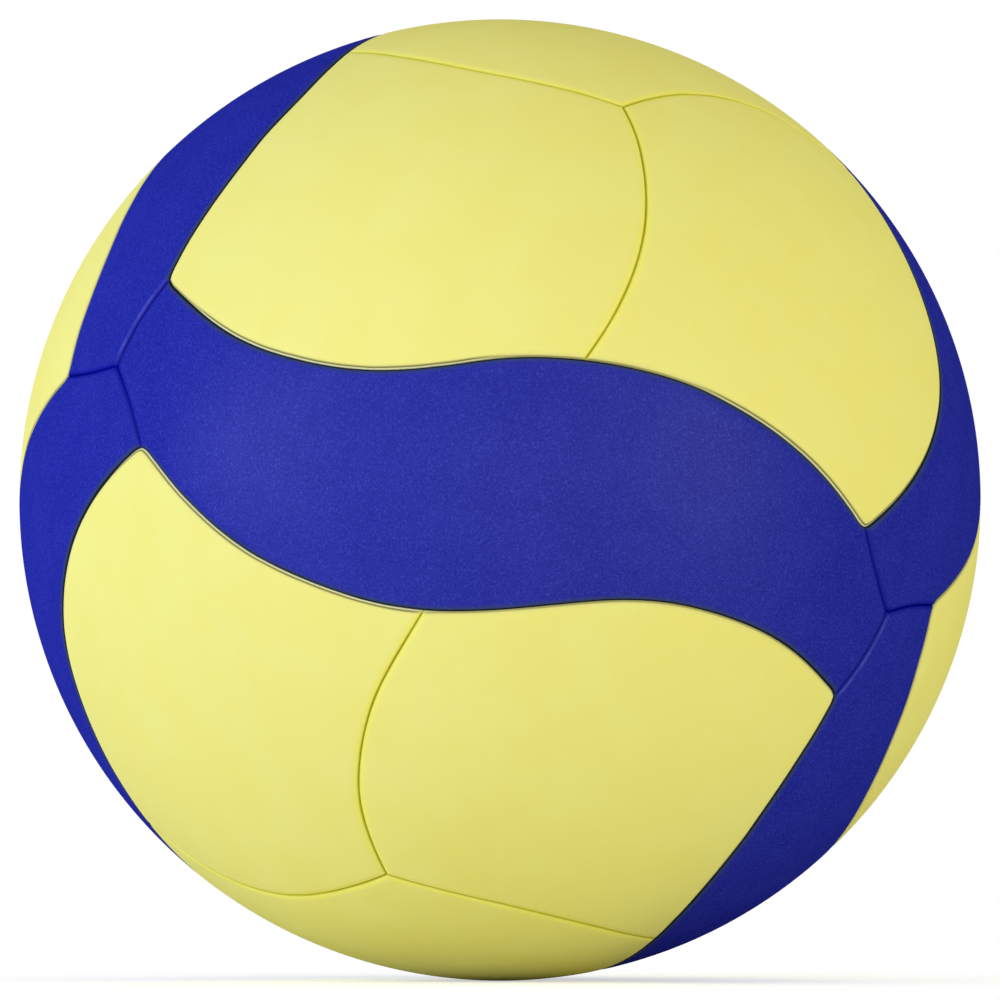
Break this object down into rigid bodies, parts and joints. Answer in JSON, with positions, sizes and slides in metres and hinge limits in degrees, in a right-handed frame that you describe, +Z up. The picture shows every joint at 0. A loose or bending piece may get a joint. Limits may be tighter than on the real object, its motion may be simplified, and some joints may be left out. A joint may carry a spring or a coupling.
{
  "type": "volleyball",
  "caption": "Inflatable indoor volleyball covered in S-shaped blue stripes and yellow panels with rolled-edge seams, over a wound carcass, bladder and rubber needle valve.",
  "frame": {"origin": "centre of the ball", "axes": "-Y out through the middle of the front blue stripe, towards the viewer; +Y out along the valve; +Z up as in the picture, with the front stripe falling from left to right"},
  "size_m": [0.21, 0.21, 0.21],
  "materials": {
    "blue_cover": "matte finely grained microfibre leather",
    "yellow_cover": "matte smooth microfibre leather",
    "backing_foam": "cloth-faced foam",
    "carcass_rubber": "matte moulded rubber",
    "winding_thread": "wound nylon thread",
    "bladder_rubber": "smooth butyl rubber",
    "boot_rubber": "matte moulded rubber",
    "plug_rubber": "soft matte rubber"
  },
  "bodies": {
    "root": {"front_blue_cover": "blue_cover", "back_blue_cover": "blue_cover", "right_blue_cover": "blue_cover", "left_blue_cover": "blue_cover", "top_blue_cover": "blue_cover", "bottom_blue_cover": "blue_cover", "top_yellow_cover_1": "yellow_cover", "top_yellow_cover_2": "yellow_cover", "top_yellow_cover_3": "yellow_cover", "bottom_yellow_cover_1": "yellow_cover", "bottom_yellow_cover_2": "yellow_cover", "bottom_yellow_cover_3": "yellow_cover", "right_yellow_cover_1": "yellow_cover", "right_yellow_cover_2": "yellow_cover", "right_yellow_cover_3": "yellow_cover", "left_yellow_cover_1": "yellow_cover", "left_yellow_cover_2": "yellow_cover", "left_yellow_cover_3": "yellow_cover", "front_blue_backing": "backing_foam", "back_blue_backing": "backing_foam", "right_blue_backing": "backing_foam", "left_blue_backing": "backing_foam", "top_blue_backing": "backing_foam", "bottom_blue_backing": "backing_foam", "top_yellow_backing_1": "backing_foam", "top_yellow_backing_2": "backing_foam", "top_yellow_backing_3": "backing_foam", "bottom_yellow_backing_1": "backing_foam", "bottom_yellow_backing_2": "backing_foam", "bottom_yellow_backing_3": "backing_foam", "right_yellow_backing_1": "backing_foam", "right_yellow_backing_2": "backing_foam", "right_yellow_backing_3": "backing_foam", "left_yellow_backing_1": "backing_foam", "left_yellow_backing_2": "backing_foam", "left_yellow_backing_3": "backing_foam", "carcass": "carcass_rubber", "winding": "winding_thread", "bladder": "bladder_rubber", "valve_boot": "boot_rubber", "valve_plug": "plug_rubber"}
  },
  "joints": []
}
